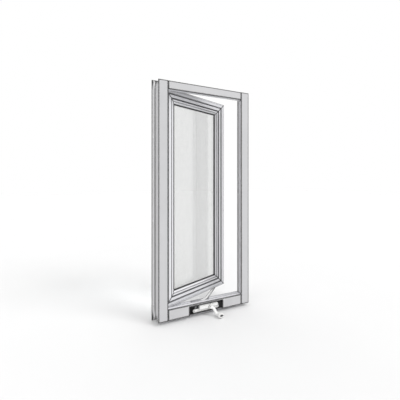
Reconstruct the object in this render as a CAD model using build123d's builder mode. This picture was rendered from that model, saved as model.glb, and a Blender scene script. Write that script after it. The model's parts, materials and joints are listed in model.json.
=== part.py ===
from build123d import *
import math
import os

# Outward-opening casement window: a double-glazed sash, hinged on its left side as seen from the
# room, in a finned frame, worked by a worm-gear operator with a crank at the sill.
# Millimetres. X runs to the right as seen from the room, Y outdoors, Z up. The origin is the middle
# of the sill's underside, in the plane of the sash hinge.

os.makedirs("parts", exist_ok=True)

# Frame
BODY_WIDTH = 534.0              # outside of the frame bodies, which drop into the wall's opening
BODY_HEIGHT = 1214.0
INSIDE = -45.0                  # room side of the frame bodies
OUTSIDE = 44.0                  # weather side
JAMB_THICK = 17.0
HEAD_THICK = 17.0
SILL_THICK = 32.0
WALL = 2.2                      # wall of every hollow bar
STOP_BACK = -24.0               # weather side of the inside stops
TRIM_LAP = 3.0                  # the face trim stands this far past the bodies
TRIM_THICK = 3.0
JAMB_FACE = 52.0
HEAD_FACE = 44.0
SILL_FACE = 58.0
EDGE_BEVEL = 1.6
FIN_WIDTH = 19.0
FIN_THICK = 2.0
FIN_INSIDE = 24.0               # room side of the nail fins
FIN_KERF = 1.4                  # depth of the groove each fin is rooted in
NAIL_RADIUS = 2.5

# Sash, measured across each bar from its outer edge (w) and along Y when shut (depth)
SASH_LAP = 18.0                 # the sash laps the side stops
SASH_LAP_TOP = 19.0             # and the head stop
SASH_LAP_BOTTOM = 9.0           # and the sill stop
SASH_HALF = 19.0                # half the sash's thickness
SASH_BAR = 47.0
SASH_LIP = 65.0                 # weather-side glazing lip reaches this far in
BEAD_FLAT = 61.5                # the bead is flat this far in, then falls away
BEAD_EDGE = 75.0
HINGE_INSET = 10.0              # hinge axis from the sash's edge
REST_ANGLE = 20.5               # how far the sash stands open

# Operator
ARM_LENGTH = 208.0              # equals the distance between the hinge and the arm's pivot
ARM_BOTTOM = 36.0
ARM_THICK = 4.0
MODULE = 2.0
GEAR_TEETH = 28
LEAD_ANGLE = 10.0
MESH_HEIGHT = 17.0
CRANK_REACH = 56.0
CRANK_TURN = -46.0              # where the crank points at rest, from the right

# Worked out from the above
TRIM_X = BODY_WIDTH / 2 + TRIM_LAP
TRIM_BOTTOM = -TRIM_LAP
TRIM_TOP = BODY_HEIGHT + TRIM_LAP
DAYLIGHT_X = TRIM_X - JAMB_FACE
DAYLIGHT_BOTTOM = TRIM_BOTTOM + SILL_FACE
DAYLIGHT_TOP = TRIM_TOP - HEAD_FACE
POCKET_X = BODY_WIDTH / 2 - JAMB_THICK
POCKET_TOP = BODY_HEIGHT - HEAD_THICK
SASH_X = DAYLIGHT_X + SASH_LAP
SASH_WIDTH = 2 * SASH_X
SASH_BOTTOM = DAYLIGHT_BOTTOM - SASH_LAP_BOTTOM
SASH_TOP = DAYLIGHT_TOP + SASH_LAP_TOP
SASH_HEIGHT = SASH_TOP - SASH_BOTTOM
SASH_MIDDLE = (SASH_TOP + SASH_BOTTOM) / 2
HINGE_X = -SASH_X + HINGE_INSET
PIVOT_X = HINGE_X + ARM_LENGTH
GEAR_RADIUS = MODULE * GEAR_TEETH / 2
WORM_RADIUS = MODULE / (2 * math.sin(math.radians(LEAD_ANGLE)))
WORM_X = PIVOT_X + GEAR_RADIUS + WORM_RADIUS

# Planes
rest = math.radians(REST_ANGLE)
lead = math.radians(LEAD_ANGLE)
sash_plane = Plane(origin=(HINGE_X, 0, 0), x_dir=(math.cos(rest), math.sin(rest), 0), z_dir=(0, 0, 1))
arm_plane = Plane(
    origin=(PIVOT_X, 0, 0), x_dir=(math.cos(2 * rest), math.sin(2 * rest), 0), z_dir=(0, 0, 1)
)
worm_plane = Plane(
    origin=(WORM_X, 0, MESH_HEIGHT), x_dir=(1, 0, 0), z_dir=(0, -math.cos(lead), math.sin(lead))
)


def save(piece, node):
    """Label a finished piece and write it."""
    piece.part.label = node
    export_step(piece.part, f"parts/{node}.step")


# ---------------------------------------------------------------- frame

SCREW_RADIUS = 2.0
PLATE_SCREW = 12.0              # length of the plate and bracket screws
SINK = 1.8                      # depth of the countersinks in the jambs
PLATE_SINK = 1.6                # and in the plates and brackets
PORT_RADIUS = 4.2
HEAD_SCREW_HEIGHT = BODY_HEIGHT - HEAD_THICK / 2
SILL_SCREW_HEIGHT = 10.0
SHELL_LEFT = PIVOT_X - 28.0     # gearbox shell, outside
SHELL_RIGHT = WORM_X + 12.0
SHELL_DEPTH = 35.0              # reaches this far each side of the hinge plane
SHELL_BOTTOM = 3.6
PLATE_THICK = 2.5
PLATE_LEFT = SHELL_LEFT - 18.0
PLATE_RIGHT = SHELL_RIGHT + 18.0
RECESS_MIDDLE = -3.0
RECESS_HALF = 99.0
RECESS_TOP = 45.0
LINER_BACK = -30.0
LINER_WALL = 1.2
plate_screws = [
    (x, y)
    for x in (PLATE_LEFT + 8, PLATE_RIGHT - 8)
    for y in (-12.0, 28.0)
]
hinge_screws = [(HINGE_X - 15.0, 0.0), (HINGE_X + 15.0, 0.0)]


def hollow_bar(width, depth, centre):
    """A rectangular tube's section in the current sketch."""
    with Locations(centre):
        Rectangle(width, depth)
        Rectangle(width - 2 * WALL, depth - 2 * WALL, mode=Mode.SUBTRACT)


def frame_jamb(side, node):
    """Full-height hollow jamb, drilled for the corner screws."""
    centre = (side * (BODY_WIDTH / 2 - JAMB_THICK / 2), (INSIDE + OUTSIDE) / 2)
    with BuildPart() as jamb:
        with BuildSketch(Plane.XY):
            hollow_bar(JAMB_THICK, OUTSIDE - INSIDE, centre)
            with Locations((side * (BODY_WIDTH - FIN_KERF) / 2, FIN_INSIDE + FIN_THICK / 2)):
                Rectangle(FIN_KERF, FIN_THICK, mode=Mode.SUBTRACT)
        extrude(amount=BODY_HEIGHT)
        for height in (SILL_SCREW_HEIGHT, HEAD_SCREW_HEIGHT):
            with BuildSketch(Plane.YZ.offset(side * POCKET_X - side * 1.0)):
                with Locations(*[(depth, height) for depth in screw_depths(height)]):
                    Circle(SCREW_RADIUS)
            extrude(amount=side * (JAMB_THICK + 2), mode=Mode.SUBTRACT)
            with BuildSketch(Plane.YZ.offset(side * BODY_WIDTH / 2)):
                with Locations(*[(depth, height) for depth in screw_depths(height)]):
                    Circle(SCREW_RADIUS + SINK)
            extrude(amount=-side * SINK, taper=45, mode=Mode.SUBTRACT)
    save(jamb, node)


def jamb_end_caps():
    """Plugs that close the open ends of both hollow jambs."""
    cap_thick = 3.0
    middle = (INSIDE + OUTSIDE) / 2
    with BuildPart() as caps:
        for low in (0, BODY_HEIGHT - cap_thick):
            with BuildSketch(Plane.XY.offset(low)):
                for side in (-1, 1):
                    with Locations((side * (BODY_WIDTH / 2 - JAMB_THICK / 2), middle)):
                        Rectangle(JAMB_THICK - 2 * WALL, OUTSIDE - INSIDE - 2 * WALL)
            extrude(amount=cap_thick)
    save(caps, "jamb_end_caps")


def screw_depths(height):
    """Depths of the corner screws: the sill bar is shallower than the head bar."""
    return (-12.0, 15.0) if height < SASH_MIDDLE else (-32.0, 15.0)


def frame_head():
    """Hollow head between the jambs, with screw ports at its ends."""
    with BuildPart() as head:
        with BuildSketch(Plane.YZ.offset(-POCKET_X)):
            hollow_bar(OUTSIDE - INSIDE, HEAD_THICK, ((INSIDE + OUTSIDE) / 2, HEAD_SCREW_HEIGHT))
            with Locations((FIN_INSIDE + FIN_THICK / 2, BODY_HEIGHT - FIN_KERF / 2)):
                Rectangle(FIN_THICK, FIN_KERF, mode=Mode.SUBTRACT)
            for depth in screw_depths(HEAD_SCREW_HEIGHT):
                with Locations((depth, HEAD_SCREW_HEIGHT)):
                    Rectangle(2 * PORT_RADIUS, HEAD_THICK - WALL)
                    Circle(SCREW_RADIUS, mode=Mode.SUBTRACT)
        extrude(amount=2 * POCKET_X)
        with BuildSketch(Plane.XY.offset(POCKET_TOP)):
            with Locations(*hinge_screws, (HINGE_X, 0)):
                Circle(SCREW_RADIUS)
        extrude(amount=WALL, mode=Mode.SUBTRACT)
    save(head, "frame_head")


def frame_sill():
    """Hollow sill under the sash, cut out for the gearbox and slotted to drain."""
    depth = OUTSIDE - STOP_BACK
    middle = (OUTSIDE + STOP_BACK) / 2
    with BuildPart() as sill:
        with BuildSketch(Plane.YZ.offset(-POCKET_X)):
            hollow_bar(depth, SILL_THICK, (middle, SILL_THICK / 2))
            with Locations((FIN_INSIDE + FIN_THICK / 2, FIN_KERF / 2)):
                Rectangle(FIN_THICK, FIN_KERF, mode=Mode.SUBTRACT)
            for screw_depth in screw_depths(SILL_SCREW_HEIGHT):
                with Locations((screw_depth, SILL_SCREW_HEIGHT)):
                    Rectangle(2 * PORT_RADIUS, 2 * SILL_SCREW_HEIGHT - 2 * WALL)
                    Circle(SCREW_RADIUS, mode=Mode.SUBTRACT)
        extrude(amount=2 * POCKET_X)
        gap = 1.0
        with BuildSketch(Plane.XY.offset(WALL)):
            with Locations(((SHELL_LEFT + SHELL_RIGHT) / 2, -gap / 2)):
                Rectangle(SHELL_RIGHT - SHELL_LEFT + 2 * gap, 2 * SHELL_DEPTH + gap)
        extrude(amount=SILL_THICK, mode=Mode.SUBTRACT)
        with BuildSketch(Plane.XY.offset(SILL_THICK - WALL)):
            with Locations(*plate_screws, *hinge_screws):
                Circle(SCREW_RADIUS)
        extrude(amount=WALL, mode=Mode.SUBTRACT)
        with BuildSketch(Plane.XZ.offset(-OUTSIDE)):
            with Locations((-150, 8), (150, 8)):
                SlotOverall(24, 5)
        extrude(amount=WALL, mode=Mode.SUBTRACT)
    save(sill, "frame_sill")


def side_stop(side, node):
    """Inside stop along a jamb, a small hollow bar."""
    width = POCKET_X - DAYLIGHT_X
    with BuildPart() as stop:
        with BuildSketch(Plane.XY.offset(DAYLIGHT_BOTTOM)):
            hollow_bar(width, STOP_BACK - INSIDE, (side * (DAYLIGHT_X + width / 2), (INSIDE + STOP_BACK) / 2))
        extrude(amount=DAYLIGHT_TOP - DAYLIGHT_BOTTOM)
    save(stop, node)


def head_stop():
    """Inside stop under the head."""
    height = POCKET_TOP - DAYLIGHT_TOP
    with BuildPart() as stop:
        with BuildSketch(Plane.YZ.offset(-POCKET_X)):
            hollow_bar(STOP_BACK - INSIDE, height, ((INSIDE + STOP_BACK) / 2, DAYLIGHT_TOP + height / 2))
        extrude(amount=2 * POCKET_X)
    save(stop, "stop_head")


def sill_stop():
    """Taller riser in front of the sill, with the operator's recess cut through its face."""
    depth = STOP_BACK - INSIDE
    with BuildPart() as stop:
        with BuildSketch(Plane.YZ.offset(-POCKET_X)):
            hollow_bar(depth, DAYLIGHT_BOTTOM, ((INSIDE + STOP_BACK) / 2, DAYLIGHT_BOTTOM / 2))
        extrude(amount=2 * POCKET_X)
        height = RECESS_TOP - WALL
        with BuildSketch(Plane.XZ.offset(-INSIDE)):
            with Locations((RECESS_MIDDLE, WALL + height / 2)):
                Rectangle(2 * RECESS_HALF, height)
        extrude(amount=-(depth - WALL), mode=Mode.SUBTRACT)
        window_top = SILL_THICK + PLATE_THICK
        with BuildSketch(Plane.XZ.offset(-STOP_BACK)):
            with Locations(((PLATE_LEFT + PLATE_RIGHT) / 2, (WALL + window_top) / 2)):
                Rectangle(PLATE_RIGHT - PLATE_LEFT + 1, window_top - WALL)
            with Locations(*base_screws()):
                Circle(SCREW_RADIUS)
        extrude(amount=WALL, mode=Mode.SUBTRACT)
    save(stop, "stop_sill")


def face_trim(node, centre, width, height, recess=False):
    """Flat bevelled trim on the room side of one frame member."""
    with BuildPart() as trim:
        with BuildSketch(Plane.XZ.offset(-INSIDE)):
            with Locations(centre):
                Rectangle(width, height)
        extrude(amount=TRIM_THICK)
        long_way = Axis.Z if height > width else Axis.X
        front = trim.faces().sort_by(Axis.Y)[0]
        chamfer(front.edges().filter_by(long_way), EDGE_BEVEL)
        if recess:
            cut_from = TRIM_BOTTOM - 1
            with BuildSketch(Plane.XZ.offset(-INSIDE)):
                with Locations((RECESS_MIDDLE, (cut_from + RECESS_TOP) / 2)):
                    Rectangle(2 * RECESS_HALF, RECESS_TOP - cut_from)
            extrude(amount=TRIM_THICK, mode=Mode.SUBTRACT)
    save(trim, node)


def face_trims():
    """Jamb trims run full height, head and sill trims butt between them."""
    seam = 0.4
    for side, name in ((-1, "left"), (1, "right")):
        centre = (side * (DAYLIGHT_X + JAMB_FACE / 2), (TRIM_TOP + TRIM_BOTTOM) / 2)
        face_trim(f"face_trim_{name}", centre, JAMB_FACE, TRIM_TOP - TRIM_BOTTOM)
    width = 2 * DAYLIGHT_X - 2 * seam
    face_trim("face_trim_head", (0, TRIM_TOP - HEAD_FACE / 2), width, HEAD_FACE)
    face_trim("face_trim_sill", (0, TRIM_BOTTOM + SILL_FACE / 2), width, SILL_FACE, recess=True)


FIN_NAIL_OUT = 10.5             # nail line from the frame body
JAMB_NAIL_PITCH = 220.0
HEAD_NAIL_PITCH = 120.0
jamb_nails = [(i - 2.5) * JAMB_NAIL_PITCH for i in range(6)]
head_nails = [(i - 1.5) * HEAD_NAIL_PITCH for i in range(4)]


def nail_fin(node, edge, length, root, nails, middle):
    """Punched flange rooted in the groove round the frame.

    edge is "left", "right", "head" or "sill", root the length in the groove, and nails are places
    along the fin from its middle.
    """
    across = {"left": (-1, 0, 0), "right": (1, 0, 0), "head": (0, 0, 1), "sill": (0, 0, -1)}[edge]
    with BuildPart() as fin:
        with BuildSketch(Plane(origin=middle, x_dir=across, z_dir=(0, -1, 0))):
            with Locations((FIN_WIDTH / 2, 0)):
                Rectangle(FIN_WIDTH, length)
            with Locations((-FIN_KERF / 2, 0)):
                Rectangle(FIN_KERF, root)
            with Locations(*[(FIN_NAIL_OUT, place) for place in nails]):
                Circle(NAIL_RADIUS, mode=Mode.SUBTRACT)
        extrude(amount=-FIN_THICK)
    save(fin, node)


def nail_fins():
    """Fins round all four sides; the side fins run past the corners."""
    middle_height = BODY_HEIGHT / 2
    side_length = BODY_HEIGHT + 2 * FIN_WIDTH
    for side, name in ((-1, "left"), (1, "right")):
        middle = (side * BODY_WIDTH / 2, FIN_INSIDE, middle_height)
        nail_fin(f"nail_fin_{name}", name, side_length, BODY_HEIGHT, jamb_nails, middle)
    for height, name in ((BODY_HEIGHT, "head"), (0, "sill")):
        middle = (0, FIN_INSIDE, height)
        nail_fin(f"nail_fin_{name}", name, BODY_WIDTH, 2 * POCKET_X, head_nails, middle)


SEAL_WIDTH = 6.0
SEAL_BASE = 1.2
HINGE_SEAL_HEIGHT = 2.0
SEAL_HEIGHT = 4.6
SEAL_INSET = 4.5                # seals' middle from the edge of the daylight opening


def weatherstrips():
    """Seals on the back of the stops; the one beside the hinge is a low fin the sash edge clears."""
    side_from = DAYLIGHT_BOTTOM + 1
    side_length = DAYLIGHT_TOP - DAYLIGHT_BOTTOM - 2
    end_from = HINGE_X + 12
    end_length = SASH_X - 5 - end_from
    with BuildPart() as strips:
        for side, height in ((-1, HINGE_SEAL_HEIGHT), (1, SEAL_HEIGHT)):
            with BuildSketch(Plane.XY.offset(side_from)):
                seal_section((side * (DAYLIGHT_X + SEAL_INSET), STOP_BACK), height, 0)
            extrude(amount=side_length)
        for middle in (DAYLIGHT_TOP + SEAL_INSET, DAYLIGHT_BOTTOM - SEAL_INSET):
            with BuildSketch(Plane.YZ.offset(end_from)):
                seal_section((STOP_BACK, middle), SEAL_HEIGHT, -90)
            extrude(amount=end_length)
    save(strips, "weatherstrips")


def seal_section(foot, height, turned):
    """A flat base with a rounded bulb, standing on foot, in the current sketch."""
    bulb = min(SEAL_WIDTH / 2 - 0.6, (height - SEAL_BASE) / 2 + 0.6)
    with BuildSketch() as section:
        with Locations((0, SEAL_BASE / 2)):
            Rectangle(SEAL_WIDTH, SEAL_BASE)
        with Locations((0, height - bulb)):
            Circle(bulb)
    with Locations(Location((*foot, 0), turned)):
        add(section.sketch)


def screw(radius, head_radius, length):
    """Countersunk screw in the current part: its head's top at each place, the shank below."""
    head = head_radius - radius
    Cylinder(radius, length, align=(Align.CENTER, Align.CENTER, Align.MAX))
    Cone(radius, head_radius, head, align=(Align.CENTER, Align.CENTER, Align.MAX))


def corner_screws():
    """Countersunk screws through each jamb into the ports of the head and sill."""
    reach = JAMB_THICK + 18.0
    with BuildPart() as screws:
        for side in (-1, 1):
            outer_face = Plane.YZ.offset(side * BODY_WIDTH / 2)
            for height in (SILL_SCREW_HEIGHT, HEAD_SCREW_HEIGHT):
                places = [(depth, height) for depth in screw_depths(height)]
                with BuildSketch(outer_face):
                    with Locations(*places):
                        Circle(SCREW_RADIUS)
                extrude(amount=-side * reach)
                with BuildSketch(outer_face):
                    with Locations(*places):
                        Circle(SCREW_RADIUS + SINK)
                extrude(amount=-side * SINK, taper=45)
    save(screws, "frame_corner_screws")


# ---------------------------------------------------------------- hinges

HINGE_PIN_RADIUS = 4.0
RUNNING_GAP = 0.05
BUSH_RADIUS = 6.0
BUSH_FLANGE = 8.5
BUSH_DEPTH = 11.5
BRACKET_THICK = 2.5
TOP_BRACKET_THICK = 2.0


def hinge_bracket(node, floor, thick, boss):
    """Plate on the sill (up) or head (down) that holds the hinge pin; boss is its raised collar."""
    with BuildPart() as bracket:
        with BuildSketch(Plane.XY.offset(floor)):
            with Locations((HINGE_X, 0)):
                RectangleRounded(44, 24, 5)
        extrude(amount=thick)
        if boss:
            with BuildSketch(Plane.XY.offset(floor + thick)):
                with Locations((HINGE_X, 0)):
                    Circle(BUSH_FLANGE)
            extrude(amount=boss)
        with BuildSketch(Plane.XY.offset(floor)):
            with Locations((HINGE_X, 0)):
                Circle(HINGE_PIN_RADIUS)
            with Locations(*hinge_screws):
                Circle(SCREW_RADIUS)
        extrude(amount=thick + boss, mode=Mode.SUBTRACT)
        sink = PLATE_SINK if thick > 0 else -PLATE_SINK
        with BuildSketch(Plane.XY.offset(floor + thick - sink)):
            with Locations(*hinge_screws):
                Circle(SCREW_RADIUS)
        extrude(amount=sink, taper=-45, mode=Mode.SUBTRACT)
    save(bracket, node)


def hinges():
    """Brackets, pins, bushes and screws of the top and bottom pivots."""
    play = 0.4
    boss = SASH_BOTTOM - 3.0 - play - SILL_THICK - BRACKET_THICK
    hinge_bracket("hinge_bracket_bottom", SILL_THICK, BRACKET_THICK, boss)
    hinge_bracket("hinge_bracket_top", POCKET_TOP, -TOP_BRACKET_THICK, 0)
    pin_spans = ((SILL_THICK, SASH_BOTTOM + BUSH_DEPTH - 1), (SASH_TOP - BUSH_DEPTH + 1, POCKET_TOP))
    with BuildPart() as pins:
        for low, high in pin_spans:
            with BuildSketch(Plane.XY.offset(low)):
                with Locations((HINGE_X, 0)):
                    Circle(HINGE_PIN_RADIUS)
            extrude(amount=high - low)
        ends = pins.edges().filter_by(GeomType.CIRCLE).sort_by(Axis.Z)
        chamfer([ends[1], ends[2]], 0.8)
    save(pins, "hinge_pins")
    bushes = ((SASH_BOTTOM, -3.0, BUSH_DEPTH), (SASH_TOP, 2.5, -BUSH_DEPTH))
    with BuildPart() as bush:
        for face, flange, barrel in bushes:
            with BuildSketch(sash_plane.offset(face)):
                Circle(BUSH_FLANGE)
                Circle(HINGE_PIN_RADIUS + RUNNING_GAP, mode=Mode.SUBTRACT)
            extrude(amount=flange)
            with BuildSketch(sash_plane.offset(face)):
                Circle(BUSH_RADIUS)
                Circle(HINGE_PIN_RADIUS + RUNNING_GAP, mode=Mode.SUBTRACT)
            extrude(amount=barrel)
    save(bush, "hinge_bushes")
    with BuildPart() as screws:
        with Locations(*[Pos(x, y, SILL_THICK + BRACKET_THICK) for x, y in hinge_screws]):
            screw(SCREW_RADIUS, SCREW_RADIUS + PLATE_SINK, PLATE_SCREW)
        flip = Rot(180, 0, 0)
        with Locations(*[Pos(x, y, POCKET_TOP - TOP_BRACKET_THICK) * flip for x, y in hinge_screws]):
            screw(SCREW_RADIUS, SCREW_RADIUS + PLATE_SINK, PLATE_SCREW)
    save(screws, "hinge_bracket_screws")


# ---------------------------------------------------------------- sash

CHAMBER_FROM = 11.5             # main chamber of the sash bars, across the bar
CHAMBER_TO = SASH_BAR - 2.3
CHAMBER_MIDDLE = 2.6            # and along Y
CHAMBER_DEEP = 27.6
LIP_BACK = 13.0                 # room side of the glazing lip
GLASS_THICK = 3.0
GLASS_GAP = 6.0
BEAD_BACK = -1.4
TRACK_HALF = 9.0
TRACK_HEIGHT = 9.0
TRACK_FROM = ARM_LENGTH - 8.0
TRACK_TO = 2 * ARM_LENGTH + 10.0


def bar_plane(edge, inset=0.0):
    """Plane of one sash bar: x runs inwards from its outer edge, y outdoors, z along the bar."""
    half_way = SASH_WIDTH / 2 - HINGE_INSET
    origins = {
        "hinge": (-HINGE_INSET + inset, 0, SASH_MIDDLE),
        "lock": (SASH_WIDTH - HINGE_INSET - inset, 0, SASH_MIDDLE),
        "bottom": (half_way, 0, SASH_BOTTOM + inset),
        "top": (half_way, 0, SASH_TOP - inset),
    }
    along = sash_plane.x_dir
    inward = {"hinge": along, "lock": -along, "bottom": Vector(0, 0, 1), "top": Vector(0, 0, -1)}[edge]
    origin = sash_plane.from_local_coords(Vector(*origins[edge]))
    return Plane(origin=origin, x_dir=inward, z_dir=inward.cross(sash_plane.y_dir))


def bar_length(edge, inset=0.0):
    """Length of a sash bar along its outer edge."""
    full = SASH_HEIGHT if edge in ("hinge", "lock") else SASH_WIDTH
    return full - 2 * inset


def mitre(plane, length):
    """Cut both ends of the current part at 45 degrees, full length along the plane's y axis."""
    for end in (-1, 1):
        corner = plane.origin + plane.z_dir * (end * length / 2)
        cut = Plane(origin=corner, z_dir=plane.x_dir + plane.z_dir * end)
        split(bisect_by=cut, keep=Keep.BOTTOM)


def sash_outline():
    """Outer outline of the sash bar: flat, shadow groove, second flat, rabbet and glazing lip."""
    with BuildSketch() as outline:
        with BuildLine():
            Polyline(
                (1.2, -SASH_HALF), (24.2, -SASH_HALF), (25, -18.2), (25, -13.6), (27.2, -13.6),
                (27.2, -15.2), (28, -16), (SASH_BAR, -16), (SASH_BAR, LIP_BACK),
                (SASH_LIP - 1.5, LIP_BACK), (SASH_LIP, LIP_BACK + 1.5), (SASH_LIP, 17),
                (SASH_LIP - 2, SASH_HALF), (1.2, SASH_HALF), (0, SASH_HALF - 1.2), (0, 1.2 - SASH_HALF),
                close=True,
            )
        make_face()
    return outline.sketch


def sash_bar(edge, node):
    """Mitred hollow bar with two chambers."""
    plane = bar_plane(edge)
    length = bar_length(edge)
    with BuildPart() as bar:
        with BuildSketch(plane):
            add(sash_outline())
            with Locations((5.5, 0)):
                Rectangle(6.6, 2 * (SASH_HALF - WALL), mode=Mode.SUBTRACT)
            with Locations(((CHAMBER_FROM + CHAMBER_TO) / 2, CHAMBER_MIDDLE)):
                Rectangle(CHAMBER_TO - CHAMBER_FROM, CHAMBER_DEEP, mode=Mode.SUBTRACT)
        extrude(amount=length / 2, both=True)
        mitre(plane, length)
        if edge == "bottom":
            with BuildSketch(sash_plane.offset(SASH_BOTTOM)):
                with Locations(((TRACK_FROM + TRACK_TO) / 2, 0)):
                    Rectangle(TRACK_TO - TRACK_FROM + 0.4, 2 * TRACK_HALF)
            extrude(amount=TRACK_HEIGHT, mode=Mode.SUBTRACT)
            with BuildSketch(sash_plane.offset(SASH_BOTTOM)):
                with Locations(*track_screws):
                    Circle(SCREW_RADIUS)
            extrude(amount=TRACK_HEIGHT + 3, mode=Mode.SUBTRACT)
        if edge != "lock":
            for face, reach in ((SASH_BOTTOM, BUSH_DEPTH), (SASH_TOP, -BUSH_DEPTH)):
                with BuildSketch(sash_plane.offset(face)):
                    Circle(BUSH_RADIUS)
                extrude(amount=reach, mode=Mode.SUBTRACT)
    save(bar, node)


def corner_keys():
    """Cast angles inside the hollow corners that pull the mitres together."""
    low = CHAMBER_FROM + 0.5
    high = CHAMBER_TO - 0.5
    arm = 70.0
    outline = [(low, low), (arm, low), (arm, high), (high, high), (high, arm), (low, arm)]
    with BuildPart() as keys:
        for upright in ("hinge", "lock"):
            for rail in ("bottom", "top"):
                with BuildSketch(bar_corner(upright, rail)):
                    with BuildLine():
                        Polyline(*outline, close=True)
                    make_face()
                extrude(amount=CHAMBER_DEEP / 2 - 0.4, both=True)
    save(keys, "sash_corner_keys")


def bar_corner(upright, rail):
    """Plane at a sash corner, mid-chamber, both axes running inwards from the outer edges."""
    x_dir = bar_plane(upright).x_dir
    y_dir = bar_plane(rail).x_dir
    place = -HINGE_INSET if upright == "hinge" else SASH_WIDTH - HINGE_INSET
    height = SASH_BOTTOM if rail == "bottom" else SASH_TOP
    origin = sash_plane.from_local_coords(Vector(place, CHAMBER_MIDDLE, height))
    return Plane(origin=origin, x_dir=x_dir, z_dir=x_dir.cross(y_dir))


def glazing_bead(edge, node):
    """Snap-in bead on the room side: a flat, then an ovolo down to the glass."""
    plane = bar_plane(edge)
    length = bar_length(edge)
    bead_from = SASH_BAR + 1.6
    with BuildPart() as bead:
        with BuildSketch(plane):
            with BuildLine():
                Polyline(
                    (BEAD_EDGE, BEAD_BACK - 1), (BEAD_EDGE, BEAD_BACK), (bead_from + 4, BEAD_BACK),
                    (bead_from, -5), (bead_from, -12.4), (bead_from + 0.6, -13), (BEAD_FLAT, -13),
                    (BEAD_FLAT + 1.2, -11.4),
                )
                RadiusArc((BEAD_FLAT + 1.2, -11.4), (BEAD_EDGE, BEAD_BACK - 1), 16)
            make_face()
        extrude(amount=length / 2, both=True)
        mitre(plane, length)
    save(bead, node)


def ring(node, inset, width, low, high):
    """Rectangular ring parallel to the sash face, between two depths."""
    with BuildPart() as piece:
        with BuildSketch(face_plane(low)):
            Rectangle(SASH_WIDTH - 2 * inset, SASH_HEIGHT - 2 * inset)
            hole = inset + width
            Rectangle(SASH_WIDTH - 2 * hole, SASH_HEIGHT - 2 * hole, mode=Mode.SUBTRACT)
        extrude(amount=-(high - low))
    save(piece, node)


def face_plane(depth):
    """Plane parallel to the sash face at a depth, centred on the sash, seen from the room."""
    centre = sash_plane.from_local_coords(Vector(SASH_WIDTH / 2 - HINGE_INSET, depth, SASH_MIDDLE))
    return Plane(origin=centre, x_dir=sash_plane.x_dir, z_dir=-sash_plane.y_dir)


def glass_pane(node, inset, low, high):
    """One sheet of the insulating glass."""
    with BuildPart() as pane:
        with BuildSketch(face_plane(low)):
            Rectangle(SASH_WIDTH - 2 * inset, SASH_HEIGHT - 2 * inset)
        extrude(amount=-(high - low))
    save(pane, node)


def glazing():
    """Two panes, their spacer, the seals each side and the blocks they stand on."""
    inset = SASH_BAR + 5.0
    outer_face = GLASS_THICK + GLASS_GAP
    total = 2 * GLASS_THICK + GLASS_GAP
    glass_pane("glass_inner", inset, 0, GLASS_THICK)
    glass_pane("glass_outer", inset, outer_face, total)
    ring("glass_spacer", inset + 1, 7.0, GLASS_THICK, outer_face)
    ring("glazing_tape", inset + 1, SASH_LIP - inset - 1.5, total, LIP_BACK)
    ring("glazing_gasket", inset, BEAD_EDGE + 2.2 - inset, BEAD_BACK, 0)
    middle = SASH_WIDTH / 2 - HINGE_INSET
    with BuildPart() as blocks:
        with BuildSketch(sash_plane.offset(SASH_BOTTOM + SASH_BAR)):
            with Locations((middle - 110, total / 2), (middle + 110, total / 2)):
                Rectangle(60, total)
        extrude(amount=inset - SASH_BAR)
    save(blocks, "setting_blocks")


track_screws = [(TRACK_FROM + 70, 0), (TRACK_FROM + 150, 0)]
SLOT_HALF = 7.0


def sash_track():
    """Channel let into the underside of the bottom rail, open downwards for the roller."""
    length = TRACK_TO - TRACK_FROM
    middle = ((TRACK_FROM + TRACK_TO) / 2, 0)
    with BuildPart() as track:
        with BuildSketch(sash_plane.offset(SASH_BOTTOM)):
            with Locations(middle):
                Rectangle(length, 2 * TRACK_HALF)
        extrude(amount=TRACK_HEIGHT)
        with BuildSketch(sash_plane.offset(SASH_BOTTOM)):
            with Locations(middle):
                Rectangle(length, 2 * SLOT_HALF)
        extrude(amount=TRACK_HEIGHT - 2, mode=Mode.SUBTRACT)
        with BuildSketch(sash_plane.offset(SASH_BOTTOM)):
            with Locations(*track_screws):
                Circle(SCREW_RADIUS)
        extrude(amount=TRACK_HEIGHT, mode=Mode.SUBTRACT)
    save(track, "sash_track")
    with BuildPart() as screws:
        with BuildSketch(sash_plane.offset(SASH_BOTTOM + TRACK_HEIGHT - 2)):
            with Locations(*track_screws):
                Circle(SCREW_RADIUS)
        extrude(amount=12)
    save(screws, "sash_track_screws")


# ---------------------------------------------------------------- operator

GEAR_BOTTOM = 12.5
GEAR_THICK = 9.0
HUB_RADIUS = 10.0
BOSS_RADIUS = 6.5
ARM_PIN_RADIUS = 4.0
SHELL_WALL = 3.0
FRONT_BUSH = (26.5, 38.0)       # along the worm's axis, towards the room
REAR_BUSH = (-35.0, -27.0)
FRONT_BUSH_RADIUS = 6.5
REAR_BUSH_RADIUS = 5.0
SHAFT_RADIUS = 4.5
TAIL_RADIUS = 3.0


def worm_disc(radius, start, end, mode=Mode.ADD):
    """Cylinder on the worm's axis in the current part."""
    with BuildSketch(worm_plane.offset(start)) as disc:
        Circle(radius)
    extrude(disc.sketch, amount=end - start, mode=mode)


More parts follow.
